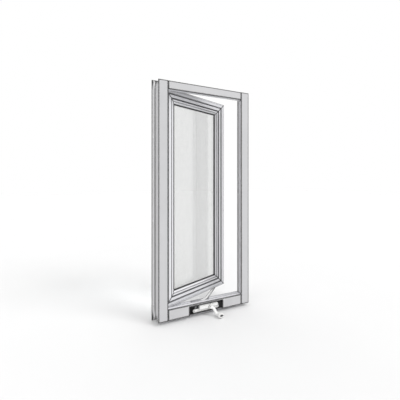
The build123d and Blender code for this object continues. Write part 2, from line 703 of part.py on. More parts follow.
def operator_shell():
    """Open-topped cast gearbox with slanted bearing bosses and a post for the pivot pin."""
    centre = ((SHELL_LEFT + SHELL_RIGHT) / 2, 0)
    width = SHELL_RIGHT - SHELL_LEFT
    depth = 2 * SHELL_DEPTH
    height = SILL_THICK - SHELL_BOTTOM
    with BuildPart() as shell:
        with BuildSketch(Plane.XY.offset(SHELL_BOTTOM)):
            with Locations(centre):
                RectangleRounded(width, depth, 4)
        extrude(amount=height)
        with BuildSketch(Plane.XY.offset(SHELL_BOTTOM + 2.5)):
            with Locations(centre):
                RectangleRounded(width - 2 * SHELL_WALL, depth - 2 * SHELL_WALL, 3)
        extrude(amount=height, mode=Mode.SUBTRACT)
        with BuildSketch(Plane.XY.offset(SHELL_BOTTOM)):
            with Locations((PIVOT_X, 0)):
                Circle(8)
        extrude(amount=GEAR_BOTTOM - 0.5 - SHELL_BOTTOM)
        with BuildSketch(Plane.XY.offset(SHELL_BOTTOM)):
            with Locations((PIVOT_X, 0)):
                Circle(ARM_PIN_RADIUS)
        extrude(amount=height, mode=Mode.SUBTRACT)
        worm_disc(FRONT_BUSH_RADIUS + 2.5, 27.0, 34.0)
        worm_disc(REAR_BUSH_RADIUS + 2.5, REAR_BUSH[0] - 0.5, REAR_BUSH[1])
        worm_disc(FRONT_BUSH_RADIUS, 26.0, 45.0, Mode.SUBTRACT)
        worm_disc(REAR_BUSH_RADIUS, REAR_BUSH[0], REAR_BUSH[1] + 1, Mode.SUBTRACT)
    save(shell, "operator_shell")


def operator_plate():
    """Flat mounting plate on the sill that closes the gearbox."""
    with BuildPart() as plate:
        with BuildSketch(Plane.XY.offset(SILL_THICK)):
            with Locations(((PLATE_LEFT + PLATE_RIGHT) / 2, 1.5)):
                RectangleRounded(PLATE_RIGHT - PLATE_LEFT, 2 * SHELL_DEPTH + 3, 4)
            with Locations((PIVOT_X, 0)):
                Circle(HUB_RADIUS + 0.3, mode=Mode.SUBTRACT)
            with Locations(*plate_screws):
                Circle(SCREW_RADIUS, mode=Mode.SUBTRACT)
        extrude(amount=PLATE_THICK)
        with BuildSketch(Plane.XY.offset(SILL_THICK + PLATE_THICK - PLATE_SINK)):
            with Locations(*plate_screws):
                Circle(SCREW_RADIUS)
        extrude(amount=PLATE_SINK, taper=-45, mode=Mode.SUBTRACT)
    save(plate, "operator_plate")
    with BuildPart() as screws:
        with Locations(*[Pos(x, y, SILL_THICK + PLATE_THICK) for x, y in plate_screws]):
            screw(SCREW_RADIUS, SCREW_RADIUS + PLATE_SINK, PLATE_SCREW)
    save(screws, "operator_plate_screws")


def worm_bushes():
    """Bronze bearings of the worm shaft."""
    with BuildPart() as bushes:
        worm_disc(FRONT_BUSH_RADIUS, *FRONT_BUSH)
        worm_disc(SHAFT_RADIUS + RUNNING_GAP, *FRONT_BUSH, Mode.SUBTRACT)
        worm_disc(REAR_BUSH_RADIUS, *REAR_BUSH)
        worm_disc(TAIL_RADIUS + RUNNING_GAP, *REAR_BUSH, Mode.SUBTRACT)
    save(bushes, "worm_bushes")


def worm_shaft():
    """Left-hand single-start worm; its thread lies upright where it meets the gear."""
    pitch = math.pi * MODULE / math.cos(lead)
    turns = 5
    core = WORM_RADIUS - 2.2
    tip = WORM_RADIUS + 1.7
    half_root = 1.75
    half_tip = 0.5
    with BuildPart() as thread:
        with BuildLine():
            path = Helix(pitch, turns * pitch, core, center=(0, 0, -turns * pitch / 2), lefthand=True)
        with BuildSketch(Plane(origin=path @ 0, x_dir=(1, 0, 0), z_dir=path % 0)):
            with BuildLine():
                Polyline(
                    (-0.5, -half_root), (tip - core, -half_tip), (tip - core, half_tip),
                    (-0.5, half_root), close=True,
                )
            make_face()
        sweep(path=path, is_frenet=True)
        Cylinder(core, 40)
    with BuildPart(worm_plane) as shaft:
        add(thread.part)
        worm_disc(SHAFT_RADIUS, 20, 68)
        worm_disc(TAIL_RADIUS, REAR_BUSH[0] + 1, -20)
    save(shaft, "worm_shaft")


def sector_gear():
    """Spur sector on a hub; a gap between teeth faces the worm at rest."""
    step = 360 / GEAR_TEETH
    root = GEAR_RADIUS - 2.3
    tip = GEAR_RADIUS + 1.8
    half_root = 2.0             # half the tooth's width at its root, pitch circle and tip
    half_pitch = 1.25
    half_tip = 0.55
    first = -8
    last = 4
    low = (first - 0.1) * step
    high = (last + 1.1) * step
    with BuildPart() as gear:
        with BuildSketch(Plane(origin=(PIVOT_X, 0, GEAR_BOTTOM))):
            with BuildLine():
                arc = CenterArc((0, 0), root, low, high - low)
                Line((0, 0), arc @ 0)
                Line((0, 0), arc @ 1)
            make_face()
            for tooth in range(first, last + 1):
                with Locations(Location((0, 0, 0), (tooth + 0.5) * step)):
                    with BuildSketch(mode=Mode.PRIVATE) as shape:
                        with BuildLine():
                            Polyline(
                                (root - 1, -half_root), (root, -half_root), (GEAR_RADIUS, -half_pitch),
                                (tip, -half_tip), (tip, half_tip), (GEAR_RADIUS, half_pitch),
                                (root, half_root), (root - 1, half_root), close=True,
                            )
                        make_face()
                    add(shape.sketch)
            Circle(HUB_RADIUS)
        extrude(amount=GEAR_THICK)
        with BuildSketch(Plane(origin=(PIVOT_X, 0, GEAR_BOTTOM))):
            Circle(HUB_RADIUS)
        extrude(amount=ARM_BOTTOM - GEAR_BOTTOM)
        with BuildSketch(Plane(origin=(PIVOT_X, 0, ARM_BOTTOM))):
            Circle(BOSS_RADIUS)
        extrude(amount=ARM_THICK)
        with BuildSketch(Plane(origin=(PIVOT_X, 0, GEAR_BOTTOM))):
            Circle(ARM_PIN_RADIUS + RUNNING_GAP)
        extrude(amount=ARM_BOTTOM, mode=Mode.SUBTRACT)
    save(gear, "sector_gear")


def pivot_pin():
    """Post the gear and arm turn on, headed above the arm."""
    with BuildPart() as pin:
        with BuildSketch(Plane(origin=(PIVOT_X, 0, SHELL_BOTTOM))):
            Circle(ARM_PIN_RADIUS)
        extrude(amount=ARM_BOTTOM + ARM_THICK + 1 - SHELL_BOTTOM)
        with BuildSketch(Plane(origin=(PIVOT_X, 0, ARM_BOTTOM + ARM_THICK + 0.4))):
            Circle(BOSS_RADIUS)
        extrude(amount=2.2)
        chamfer(pin.edges().filter_by(GeomType.CIRCLE).sort_by(Axis.Z)[-1], 0.8)
    save(pin, "pivot_pin")


ROLLER_PIN_RADIUS = 3.0
ROLLER_RADIUS = 6.7
ROLLER_BOTTOM = SASH_BOTTOM + 0.4
ROLLER_TOP = SASH_BOTTOM + TRACK_HEIGHT - 2.5
KNEE = (52.0, -13.0)            # bend of the arm, from its pivot
ARM_ROOT = 15.0                 # half widths of the arm at its pivot, knee and roller
ARM_WAIST = 8.5
ARM_END = 8.0


def operator_arm():
    """Flat cranked arm, wide at the pivot and narrowing past its knee to the roller."""
    with BuildPart() as arm:
        with BuildSketch(arm_plane.offset(ARM_BOTTOM)):
            hull_of_discs((0, 0), ARM_ROOT, KNEE, ARM_WAIST)
            hull_of_discs(KNEE, ARM_WAIST, (ARM_LENGTH, 0), ARM_END)
            Circle(BOSS_RADIUS, mode=Mode.SUBTRACT)
            with Locations((ARM_LENGTH, 0)):
                Circle(ROLLER_PIN_RADIUS, mode=Mode.SUBTRACT)
        extrude(amount=ARM_THICK)
    save(arm, "operator_arm")


def hull_of_discs(start, start_radius, end, end_radius):
    """Two discs and the straight flanks tangent to both, in the current sketch."""
    with BuildSketch(mode=Mode.PRIVATE) as discs:
        with Locations(start):
            Circle(start_radius)
        with Locations(end):
            Circle(end_radius)
        make_hull()
    add(discs.sketch)


def roller_pieces():
    """Stud riveted in the arm and the roller that runs in the sash track."""
    pin_foot = arm_plane.from_local_coords(Vector(ARM_LENGTH, 0, 0))
    at_pin = Plane(origin=pin_foot, x_dir=arm_plane.x_dir, z_dir=(0, 0, 1))
    with BuildPart() as stud:
        with BuildSketch(at_pin.offset(ARM_BOTTOM)):
            Circle(ROLLER_PIN_RADIUS)
        extrude(amount=ROLLER_TOP - ARM_BOTTOM)
        with BuildSketch(at_pin.offset(ARM_BOTTOM + ARM_THICK)):
            Circle(5)
        extrude(amount=ROLLER_BOTTOM - 0.3 - ARM_BOTTOM - ARM_THICK)
    save(stud, "roller_stud")
    with BuildPart() as roller:
        with BuildSketch(at_pin.offset(ROLLER_BOTTOM)):
            Circle(ROLLER_RADIUS)
            Circle(ROLLER_PIN_RADIUS + RUNNING_GAP, mode=Mode.SUBTRACT)
        extrude(amount=ROLLER_TOP - ROLLER_BOTTOM)
    save(roller, "track_roller")


# ---------------------------------------------------------------- cover and recess

BASE_FRONT = -39.0
BASE_LEFT = -81.0
BASE_RIGHT = 77.0
BASE_BOTTOM = 3.6
BASE_TOP = 24.0
COVER_FRONT = -50.5
COVER_TOP = 41.0
COVER_BOTTOM = 17.0
hub_height = MESH_HEIGHT + (-COVER_FRONT) * math.tan(lead)


def base_screws():
    """Places of the two screws through the base's ears, as X and Z."""
    return [(BASE_LEFT + 9, 14.0), (BASE_RIGHT - 9, 14.0)]


def recess_liner():
    """Black tray that lines the recess, open to the room and round the gearbox."""
    bottom = WALL + 0.2
    with BuildPart() as liner:
        with BuildSketch(Plane.XZ.offset(-INSIDE)):
            with Locations((RECESS_MIDDLE, (bottom + RECESS_TOP) / 2)):
                Rectangle(2 * RECESS_HALF, RECESS_TOP - bottom)
        extrude(amount=-(LINER_BACK + LINER_WALL - INSIDE))
        with BuildSketch(Plane.XZ.offset(-INSIDE)):
            with Locations((RECESS_MIDDLE, (bottom + RECESS_TOP) / 2)):
                Rectangle(2 * RECESS_HALF - 2 * LINER_WALL, RECESS_TOP - bottom - 2 * LINER_WALL)
        extrude(amount=-(LINER_BACK - INSIDE), mode=Mode.SUBTRACT)
        with BuildSketch(Plane.XZ.offset(-LINER_BACK)):
            with Locations(((SHELL_LEFT + SHELL_RIGHT) / 2, (WALL + SILL_THICK + PLATE_THICK) / 2)):
                Rectangle(PLATE_RIGHT - PLATE_LEFT + 1, SILL_THICK + PLATE_THICK - WALL)
            with Locations(*base_screws()):
                Circle(SCREW_RADIUS)
        extrude(amount=-LINER_WALL, mode=Mode.SUBTRACT)
    save(liner, "recess_liner")


def operator_base():
    """Die-cast base in the recess, with an ear at each end."""
    front_plane = Plane.XZ.offset(-BASE_FRONT)
    with BuildPart() as base:
        with BuildSketch(front_plane):
            with Locations(((BASE_LEFT + BASE_RIGHT) / 2, (BASE_BOTTOM + BASE_TOP) / 2)):
                RectangleRounded(BASE_RIGHT - BASE_LEFT, BASE_TOP - BASE_BOTTOM, 9)
            with Locations(*base_screws()):
                Circle(SCREW_RADIUS, mode=Mode.SUBTRACT)
        extrude(amount=-(-SHELL_DEPTH - BASE_FRONT))
        worm_disc(9.0, 30, 60, Mode.SUBTRACT)
    save(base, "operator_base")
    with BuildPart() as screws:
        with BuildSketch(front_plane):
            with Locations(*base_screws()):
                Circle(SCREW_RADIUS)
        extrude(amount=-(STOP_BACK - 1 - BASE_FRONT))
        with BuildSketch(front_plane):
            with Locations(*base_screws()):
                Circle(4)
        extrude(amount=2.4, taper=15)
    save(screws, "operator_base_screws")


def operator_cover():
    """Raised cover with a round boss for the crank and a lobe to its right."""
    front_plane = Plane.XZ.offset(-BASE_FRONT)
    rise = BASE_FRONT - COVER_FRONT
    left = -46.0
    right = 67.0
    with BuildPart() as cover:
        with BuildSketch(front_plane):
            cover_outline(left, right, 0)
        extrude(amount=rise)
        fillet(cover.faces().sort_by(Axis.Y)[0].edges(), 2.5)
        with BuildSketch(front_plane):
            cover_outline(left, right, 2.0)
        extrude(amount=rise - 2.5, mode=Mode.SUBTRACT)
        worm_disc(SHAFT_RADIUS + 1.0, 30, 70, Mode.SUBTRACT)
    save(cover, "operator_cover")


def cover_outline(left, right, inset):
    """Two rounded blocks either side of the boss, in the current sketch."""
    height = COVER_TOP - COVER_BOTTOM - 2 * inset
    with Locations(((left + WORM_X) / 2, (COVER_TOP + COVER_BOTTOM) / 2)):
        RectangleRounded(WORM_X - left - 2 * inset, height, 4)
    with Locations((WORM_X, hub_height + 1)):
        Circle(14 - inset)
    with Locations(((right + WORM_X) / 2, (COVER_TOP + COVER_BOTTOM) / 2 + 2)):
        RectangleRounded(right - WORM_X - 2 * inset, height - 4, height / 2 - 2.1)


# ---------------------------------------------------------------- crank

CRANK_HUB_FROM = 54.0
CRANK_HUB_TO = 69.0
KNOB_FROM = 83.0
KNOB_TO = 106.0
CRANK_WIDTH = 18.0
KNOB_PIN_RADIUS = 3.0
PIN_HEAD = 4.6                  # radius of the knob pin's head, and its base from the knob's end
turn = math.radians(CRANK_TURN)
crank_dir = worm_plane.x_dir * math.cos(turn) + worm_plane.y_dir * math.sin(turn)
crank_plane = Plane(origin=worm_plane.origin, x_dir=crank_dir, z_dir=worm_plane.z_dir)
crank_side = Plane(origin=worm_plane.origin, x_dir=crank_dir, z_dir=crank_dir.cross(worm_plane.z_dir))


def crank_handle():
    """Cast handle: a hub on the shaft, an arm that sweeps out and forward, an eye for the knob."""
    with BuildPart() as handle:
        with BuildSketch(crank_side):
            with BuildLine():
                Line((-9, CRANK_HUB_FROM), (9, CRANK_HUB_FROM))
                Bezier((9, CRANK_HUB_FROM), (26, 55), (34, 72), (CRANK_REACH + 9, 73))
                Line((CRANK_REACH + 9, 73), (CRANK_REACH + 9, 82))
                Bezier((CRANK_REACH + 9, 82), (34, 82), (28, CRANK_HUB_TO), (9, CRANK_HUB_TO))
                Line((9, CRANK_HUB_TO), (-9, CRANK_HUB_TO))
                Line((-9, CRANK_HUB_TO), (-9, CRANK_HUB_FROM))
            make_face()
        extrude(amount=CRANK_WIDTH / 2, both=True)
        with BuildSketch(crank_plane.offset(CRANK_HUB_FROM)):
            hull_of_discs((0, 0), CRANK_WIDTH / 2, (CRANK_REACH, 0), 8.5)
        extrude(amount=40, mode=Mode.INTERSECT)
        with BuildSketch(crank_plane.offset(CRANK_HUB_FROM)):
            Circle(SHAFT_RADIUS)
        extrude(amount=CRANK_HUB_TO - 1 - CRANK_HUB_FROM, mode=Mode.SUBTRACT)
        with BuildSketch(crank_plane.offset(CRANK_HUB_FROM)):
            with Locations((CRANK_REACH, 0)):
                Circle(KNOB_PIN_RADIUS)
        extrude(amount=40, mode=Mode.SUBTRACT)
        with BuildSketch(screw_plane()):
            Circle(2)
        extrude(amount=10, mode=Mode.SUBTRACT)
    save(handle, "crank_handle")


def screw_plane():
    """Plane on the shaft's surface, facing up and away, for the hub's set screw."""
    height = (CRANK_HUB_FROM + CRANK_HUB_TO) / 2
    outward = -crank_side.x_dir
    return Plane(origin=worm_plane.origin + worm_plane.z_dir * height + outward * SHAFT_RADIUS, z_dir=outward)


def crank_pieces():
    """Set screw, knob pin and the turning knob."""
    with BuildPart() as set_screw:
        with BuildSketch(screw_plane()):
            Circle(2)
        extrude(amount=4)
    save(set_screw, "crank_set_screw")
    with BuildPart() as pin:
        with BuildSketch(crank_plane.offset(74)):
            with Locations((CRANK_REACH, 0)):
                Circle(KNOB_PIN_RADIUS)
        extrude(amount=KNOB_TO - PIN_HEAD - 74)
        with BuildSketch(crank_plane.offset(KNOB_TO - PIN_HEAD)):
            with Locations((CRANK_REACH, 0)):
                Circle(PIN_HEAD)
        extrude(amount=1.6)
    save(pin, "knob_pin")
    knob_centre = crank_plane.from_local_coords(Vector(CRANK_REACH, 0, 0))
    knob_side = Plane(origin=knob_centre, x_dir=crank_side.x_dir, z_dir=crank_side.z_dir)
    with BuildPart() as knob:
        with BuildSketch(knob_side):
            with BuildLine():
                bore = KNOB_PIN_RADIUS + RUNNING_GAP
                Polyline((bore, KNOB_FROM), (8, KNOB_FROM))
                shoulder = (11.5, KNOB_TO - 1.5)
                Spline((8, KNOB_FROM), (14.5, 94), shoulder, tangents=((0.6, 1), (-0.7, 1)))
                Polyline(
                    shoulder, (9.5, KNOB_TO), (5.4, KNOB_TO), (5.4, KNOB_TO - 5), (bore, KNOB_TO - 5),
                    (bore, KNOB_FROM),
                )
            make_face()
        revolve(axis=Axis(knob_centre, worm_plane.z_dir))
    save(knob, "crank_knob")


# ---------------------------------------------------------------- build

frame_jamb(-1, "frame_jamb_left")
frame_jamb(1, "frame_jamb_right")
jamb_end_caps()
frame_head()
frame_sill()
side_stop(-1, "stop_left")
side_stop(1, "stop_right")
head_stop()
sill_stop()
face_trims()
nail_fins()
weatherstrips()
corner_screws()
hinges()
sash_bar("hinge", "sash_stile_hinge")
sash_bar("lock", "sash_stile_lock")
sash_bar("bottom", "sash_rail_bottom")
sash_bar("top", "sash_rail_top")
corner_keys()
for side in ("hinge", "lock", "bottom", "top"):
    glazing_bead(side, f"glazing_bead_{side}")
glazing()
sash_track()
operator_shell()
operator_plate()
worm_bushes()
worm_shaft()
sector_gear()
pivot_pin()
operator_arm()
roller_pieces()
recess_liner()
operator_base()
operator_cover()
crank_handle()
crank_pieces()
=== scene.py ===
import json
import math

import bmesh
import bpy
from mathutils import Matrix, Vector


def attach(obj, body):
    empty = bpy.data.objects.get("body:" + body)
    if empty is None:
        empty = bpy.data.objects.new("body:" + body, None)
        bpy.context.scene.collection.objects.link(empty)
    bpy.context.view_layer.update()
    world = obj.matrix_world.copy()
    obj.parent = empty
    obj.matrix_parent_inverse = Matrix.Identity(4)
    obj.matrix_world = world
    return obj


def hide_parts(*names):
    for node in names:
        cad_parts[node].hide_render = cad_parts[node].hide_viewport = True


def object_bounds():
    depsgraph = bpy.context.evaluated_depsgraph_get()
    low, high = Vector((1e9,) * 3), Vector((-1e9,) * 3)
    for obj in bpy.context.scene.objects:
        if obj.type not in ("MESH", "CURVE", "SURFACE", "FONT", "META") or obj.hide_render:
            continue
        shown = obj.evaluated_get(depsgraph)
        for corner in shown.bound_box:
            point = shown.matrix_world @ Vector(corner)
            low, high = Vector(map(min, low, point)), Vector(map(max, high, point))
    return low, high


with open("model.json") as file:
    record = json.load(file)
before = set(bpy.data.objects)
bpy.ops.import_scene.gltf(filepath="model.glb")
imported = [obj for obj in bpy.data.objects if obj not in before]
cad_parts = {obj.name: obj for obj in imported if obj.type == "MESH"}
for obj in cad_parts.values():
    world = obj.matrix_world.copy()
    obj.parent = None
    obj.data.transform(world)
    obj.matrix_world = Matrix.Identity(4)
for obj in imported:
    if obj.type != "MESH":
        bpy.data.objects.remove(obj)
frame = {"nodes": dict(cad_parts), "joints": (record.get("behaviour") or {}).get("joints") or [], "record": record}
nodes = frame["nodes"]
cad_low, cad_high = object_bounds()

# ---------------------------------------------------------------- materials

MM = 0.001
VINYL_LINE = 4 * MM             # width of the edge lines on the nail fins


def new_material(name):
    """A material with one Principled shader: (material, node tree, shader)."""
    mat = bpy.data.materials.new(name)
    mat.use_nodes = True
    tree = mat.node_tree
    tree.nodes.clear()
    out = tree.nodes.new("ShaderNodeOutputMaterial")
    shader = tree.nodes.new("ShaderNodeBsdfPrincipled")
    tree.links.new(shader.outputs[0], out.inputs["Surface"])
    return mat, tree, shader


def coords(tree):
    """Object coordinates."""
    source = tree.nodes.new("ShaderNodeTexCoord")
    mapping = tree.nodes.new("ShaderNodeMapping")
    tree.links.new(source.outputs["Object"], mapping.inputs["Vector"])
    return mapping.outputs[0]


def noise(tree, vector, size, detail=3.0, rough=0.55):
    """Noise of about that feature size, in metres."""
    n = tree.nodes.new("ShaderNodeTexNoise")
    n.inputs["Scale"].default_value = 1.0 / size
    n.inputs["Detail"].default_value = detail
    n.inputs["Roughness"].default_value = rough
    tree.links.new(vector, n.inputs["Vector"])
    return n.outputs["Fac"]


def span(tree, value, low, high, to_low, to_high):
    """value mapped from low..high to to_low..to_high, clamped."""
    m = tree.nodes.new("ShaderNodeMapRange")
    for name, number in (("From Min", low), ("From Max", high), ("To Min", to_low), ("To Max", to_high)):
        m.inputs[name].default_value = number
    tree.links.new(value, m.inputs["Value"])
    return m.outputs[0]


def mix(tree, factor, a, b, mode="MIX"):
    """A colour mix; a and b are colours or sockets, factor a number or a socket."""
    m = tree.nodes.new("ShaderNodeMix")
    m.data_type = "RGBA"
    m.blend_type = mode
    sockets = {"Factor": m.inputs[0], "A": m.inputs[6], "B": m.inputs[7]}
    for name, value in (("Factor", factor), ("A", a), ("B", b)):
        if isinstance(value, bpy.types.NodeSocket):
            tree.links.new(value, sockets[name])
        elif isinstance(value, tuple):
            sockets[name].default_value = (*value, 1)
        else:
            sockets[name].default_value = value
    return m.outputs[2]


def bump(tree, height, strength, distance):
    """A bump normal from a height socket."""
    b = tree.nodes.new("ShaderNodeBump")
    b.inputs["Strength"].default_value = strength
    b.inputs["Distance"].default_value = distance
    tree.links.new(height, b.inputs["Height"])
    return b.outputs[0]


def corner_shade(tree, reach):
    """Painted shade from an ambient occlusion node: 1 in the open, falling to 0 deep in a corner no wider than
    reach.
    """
    ao = tree.nodes.new("ShaderNodeAmbientOcclusion")
    ao.inputs["Distance"].default_value = reach
    ao.samples = 8
    return span(tree, ao.outputs["AO"], 0.35, 0.85, 0.0, 1.0)


def edge_line(tree, reach, facing="True Normal"):
    """1 on the flats, falling to 0 along every edge and corner, reach wide."""
    rounded = tree.nodes.new("ShaderNodeBevel")
    rounded.samples = 16
    rounded.inputs["Radius"].default_value = reach
    flat = tree.nodes.new("ShaderNodeNewGeometry")
    dot = tree.nodes.new("ShaderNodeVectorMath")
    dot.operation = "DOT_PRODUCT"
    tree.links.new(rounded.outputs[0], dot.inputs[0])
    tree.links.new(flat.outputs[facing], dot.inputs[1])
    return span(tree, dot.outputs["Value"], 0.975, 0.9995, 0.0, 1.0)


def finish_of(tree, shader, colour, rough, normal=None, metallic=0.0):
    """Link a colour, roughness and normal to the shader."""
    for name, value in (("Base Color", colour), ("Roughness", rough), ("Normal", normal)):
        if isinstance(value, bpy.types.NodeSocket):
            tree.links.new(value, shader.inputs[name])
        elif isinstance(value, tuple):
            shader.inputs[name].default_value = (*value, 1)
        elif value is not None:
            shader.inputs[name].default_value = value
    shader.inputs["Metallic"].default_value = metallic
    shader.inputs["Specular IOR Level"].default_value = 0.5


def coating(name, light, dark, shade_colour, rough, peel=0.5, reach=5 * MM, line=9 * MM, seam=(0.03, 0.03, 0.03),
            facing="True Normal"):
    """Powder coat or enamel: cloudy tone, orange peel, darkened joints and edges, painted shade in the corners."""
    mat, tree, shader = new_material(name)
    at = coords(tree)
    cloud = noise(tree, at, 0.09, 4)
    fine = noise(tree, at, 1.6 * MM, 2)
    tone = mix(tree, span(tree, cloud, 0.3, 0.7, 0, 1), light, dark)
    grain = mix(tree, span(tree, fine, 0.35, 0.65, 0, 0.06), tone, (0, 0, 0))
    # painted shade: the colour darkens deep in corners and between parts, from ambient occlusion
    shaded_corners = mix(tree, corner_shade(tree, reach), shade_colour, (1, 1, 1))
    edged = mix(tree, edge_line(tree, line, facing), seam, (1, 1, 1))
    colour = mix(tree, 1.0, mix(tree, 1.0, grain, shaded_corners, "MULTIPLY"), edged, "MULTIPLY")
    handled = noise(tree, at, 0.03, 3)
    gloss = span(tree, handled, 0.3, 0.7, rough - 0.06, rough + 0.08)
    peel_height = noise(tree, at, 0.9 * MM, 1)
    finish_of(tree, shader, colour, gloss, bump(tree, peel_height, peel, 0.05 * MM))
    return mat


def metal(name, colour, dark, rough):
    """Plated or cast metal: fine grain, with duller patches, and painted shade in its corners."""
    mat, tree, shader = new_material(name)
    at = coords(tree)
    line = noise(tree, coords(tree), 1.2 * MM, 4, 0.7)
    cloud = noise(tree, at, 0.012, 4)
    tone = mix(tree, span(tree, cloud, 0.35, 0.7, 0, 1), colour, dark)
    # painted shade: brown-black darkening deep in the metal's corners, from ambient occlusion
    metal_shaded_corners = mix(tree, corner_shade(tree, 3 * MM), (0.32, 0.31, 0.30), (1, 1, 1))
    finish_of(
        tree, shader,
        mix(tree, 1.0, tone, metal_shaded_corners, "MULTIPLY"),
        span(tree, line, 0.3, 0.7, rough - 0.08, rough + 0.12),
        bump(tree, line, 0.3, 0.03 * MM), metallic=1.0,
    )
    return mat


def moulded(name, colour, other, rough, size=1.2 * MM, depth=0.04 * MM, seam=None):
    """Moulded or extruded plastic and rubber: slight mottling and a fine matt grain."""
    mat, tree, shader = new_material(name)
    at = coords(tree)
    cloud = noise(tree, at, 0.03, 4)
    grain = noise(tree, at, size, 3)
    tone = mix(tree, span(tree, cloud, 0.3, 0.7, 0, 1), colour, other)
    if seam:
        edged = mix(tree, edge_line(tree, VINYL_LINE), seam, (1, 1, 1))
        tone = mix(tree, 1.0, tone, edged, "MULTIPLY")
    finish_of(
        tree, shader,
        tone,
        span(tree, cloud, 0.3, 0.7, rough, rough + 0.12),
        bump(tree, grain, 0.5, depth),
    )
    return mat


def float_glass(name):
    """Clear glass with a faint waviness and dust; lamps shine through it."""
    mat, tree, shader = new_material(name)
    at = coords(tree)
    wave = noise(tree, at, 0.16, 1)
    dust = noise(tree, at, 0.02, 5)
    shader.inputs["IOR"].default_value = 1.5
    shader.inputs["Transmission Weight"].default_value = 1.0
    finish_of(
        tree, shader,
        mix(tree, span(tree, dust, 0.4, 0.7, 0, 1), (0.89, 0.892, 0.89), (0.875, 0.878, 0.876)),
        span(tree, dust, 0.45, 0.75, 0.0, 0.03),
        bump(tree, wave, 0.06, 1 * MM),
    )
    clear = tree.nodes.new("ShaderNodeBsdfTransparent")
    clear.inputs[0].default_value = (0.93, 0.94, 0.94, 1)
    path = tree.nodes.new("ShaderNodeLightPath")
    join = tree.nodes.new("ShaderNodeMixShader")
    tree.links.new(path.outputs["Is Shadow Ray"], join.inputs[0])
    tree.links.new(shader.outputs[0], join.inputs[1])
    tree.links.new(clear.outputs[0], join.inputs[2])
    out = next(n for n in tree.nodes if n.type == "OUTPUT_MATERIAL")
    tree.links.new(join.outputs[0], out.inputs["Surface"])
    return mat


# light and dark tone, colour of the painted shade in corners, roughness, peel, reach of that painted shade, width
# and colour of the edge lines
ENAMEL = (
    (0.87, 0.87, 0.86), (0.84, 0.84, 0.83), (0.45, 0.45, 0.45), 0.28, 0.35, 4 * MM,
    5 * MM, (0.05, 0.05, 0.05),
)

finishes = {
    # the third colour given to each coating is the colour of its painted shade in corners
    "frame_paint": coating("frame_coat", (0.56, 0.56, 0.57), (0.53, 0.53, 0.54), (0.5, 0.5, 0.5), 0.45),
    "sash_paint": coating(
        "sash_coat", (0.76, 0.76, 0.785), (0.72, 0.72, 0.745), (0.42, 0.42, 0.44), 0.42, line=6 * MM,
    ),
    "glass": float_glass("float_glass"),
    "seal": moulded("seal_rubber", (0.018, 0.018, 0.019), (0.03, 0.03, 0.031), 0.6),
    "spacer": metal("spacer_metal", (0.70, 0.71, 0.72), (0.6, 0.61, 0.62), 0.35),
    "fin": moulded("fin_vinyl", (0.80, 0.80, 0.81), (0.76, 0.76, 0.76), 0.45, seam=(0.08, 0.08, 0.08)),
    # near black, standing in for the shade inside the operator's recess and the knob's slot: painted shade
    "liner": moulded("recess_shade_black", (0.012, 0.012, 0.013), (0.02, 0.02, 0.02), 0.5),
    "hardware_white": coating("hardware_enamel", *ENAMEL),
    "steel": metal("zinc_steel", (0.66, 0.67, 0.69), (0.55, 0.55, 0.56), 0.3),
    "casting": metal("die_casting", (0.50, 0.51, 0.52), (0.42, 0.43, 0.44), 0.5),
    "bronze": metal("sintered_bronze", (0.62, 0.42, 0.20), (0.50, 0.33, 0.16), 0.42),
    "nylon": moulded("nylon", (0.80, 0.79, 0.74), (0.74, 0.73, 0.68), 0.4),
}

slot_of = {part["node"]: part["material_slot"] for part in frame["record"]["subparts"]}

# ---------------------------------------------------------------- CAD nodes

SHARP = math.radians(30)
EDGE = {"frame_paint": 0.6, "sash_paint": 0.5, "hardware_white": 0.9, "casting": 0.5}


def soften(obj, width):
    """Rounded edges on a CAD piece, without touching its mesh."""
    weld = obj.modifiers.new("weld", "WELD")
    weld.merge_threshold = 0.01 * MM
    if width:
        bevel = obj.modifiers.new("bevel", "BEVEL")
        bevel.width = width
        bevel.segments = 2
        bevel.limit_method = "ANGLE"
        bevel.angle_limit = SHARP
        bevel.use_clamp_overlap = True
        bevel.harden_normals = False
    weighted = obj.modifiers.new("weighted", "WEIGHTED_NORMAL")
    weighted.keep_sharp = True
    weighted.weight = 60


for name, obj in nodes.items():
    slot = slot_of[name]
    obj.data.materials.clear()
    obj.data.materials.append(finishes[slot])
    for face in obj.data.polygons:
        face.use_smooth = True
    soften(obj, EDGE.get(slot, 0) * MM)

# ---------------------------------------------------------------- crank and knob

CRANK_REACH = 56 * MM
HUB_RADIUS = 8.3 * MM
HUB_HALF = 7.5 * MM             # half its thickness
HUB_MIDDLE = 61.5 * MM          # along the crank's axis, from the worm
EYE_RADIUS = 8.5 * MM
EYE_HALF = 4.5 * MM
END_POWER = 3.2                 # how square the arm is at its ends, and between them
ARM_POWER = 2.8
END_SLIVER = 0.3 * MM           # the end rings keep this half width
EYE_MIDDLE = 77.5 * MM
ARM_SWAY = 4.5 * MM             # sideways sweep of the arm, one way and then the other
KNOB_LONG = 17.0 * MM
KNOB_SHORT = 13.4 * MM

crank_enamel = coating("crank_enamel", *ENAMEL, "Normal")   # no lines between a smooth skin's facets
crank_joint = next(j for j in frame["joints"] if j["name"] == "crank_turn")
knob_joint = next(j for j in frame["joints"] if j["name"] == "knob_spin")
crank_axis = Vector(crank_joint["axis"]).normalized()
worm_centre = Vector(crank_joint["pos_m"])
knob_offset = Vector(knob_joint["pos_m"]) - worm_centre
arm_dir = (knob_offset - crank_axis * knob_offset.dot(crank_axis)).normalized()
arm_side = crank_axis.cross(arm_dir)
knob_long_dir = (Vector((1, 0, 0)) - crank_axis * crank_axis.x).normalized()
knob_short_dir = crank_axis.cross(knob_long_dir)


